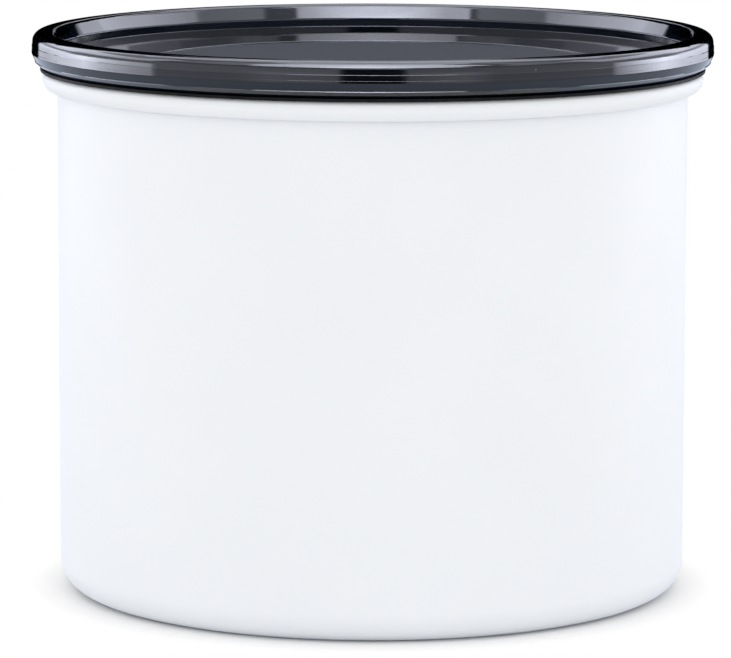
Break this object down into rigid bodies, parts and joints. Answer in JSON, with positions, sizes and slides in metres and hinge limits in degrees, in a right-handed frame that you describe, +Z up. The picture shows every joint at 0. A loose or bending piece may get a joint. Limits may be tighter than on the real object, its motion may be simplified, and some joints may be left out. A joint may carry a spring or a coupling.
{
  "type": "coffee canister with valve",
  "caption": "Round steel coffee canister with a tinted push-on lid over a sliding inner lid whose folding handle works a spring-shut air valve.",
  "frame": {"origin": "centre of the ring that the can stands on, at floor level", "axes": "+Z up along the can's axis, +X along the handle's hinge pin, +Y towards the grip of the folded handle"},
  "size_m": [0.1304, 0.1304, 0.1072],
  "materials": {
    "coated_steel": "satin white powder coat outside, bare brushed steel inside and under the base",
    "smoke_plastic": "clear, smoke tinted, polished, with a matte centre panel",
    "black_silicone": "matte moulded silicone",
    "charcoal_plastic": "fine moulded grain",
    "grey_plastic": "smooth moulded",
    "handle_plastic": "satin moulded",
    "bright_steel": "turned, bright",
    "spring_steel": "drawn wire"
  },
  "bodies": {
    "canister": {"canister_shell": "coated_steel"},
    "outer_lid": {"outer_lid": "smoke_plastic", "outer_lid_gasket": "black_silicone"},
    "inner_lid": {"plunger_deck": "charcoal_plastic", "plunger_underplate": "charcoal_plastic", "wiper_seal": "black_silicone", "underplate_screws": "bright_steel", "valve_housing": "grey_plastic", "housing_oring": "black_silicone", "valve_spring": "spring_steel", "hinge_pin": "bright_steel", "hinge_pin_clip": "bright_steel"},
    "handle": {"handle": "handle_plastic"},
    "valve": {"valve_stem": "grey_plastic", "valve_seal": "black_silicone", "seal_washer": "bright_steel", "stem_clip": "bright_steel"}
  },
  "joints": [
    {"name": "outer_lid_lift", "type": "slide", "parent": "canister", "child": "outer_lid", "axis": [0, 0, 1], "range_m": [0, 0.08]},
    {"name": "inner_lid_slide", "type": "slide", "parent": "canister", "child": "inner_lid", "axis": [0, 0, 1], "range_m": [-0.024, 0.014]},
    {"name": "handle_fold", "type": "hinge", "parent": "inner_lid", "child": "handle", "pos_m": [0, 0, 0.0465], "axis": [1, 0, 0], "range_deg": [0, 90]},
    {"name": "valve_travel", "type": "slide", "parent": "inner_lid", "child": "valve", "axis": [0, 0, 1], "range_m": [-0.00251, 0], "deforming": ["valve_spring"]}
  ],
  "couplings": [
    {"joint": "valve_travel", "follows": "handle_fold", "m_per_rad": -0.0015915}
  ]
}
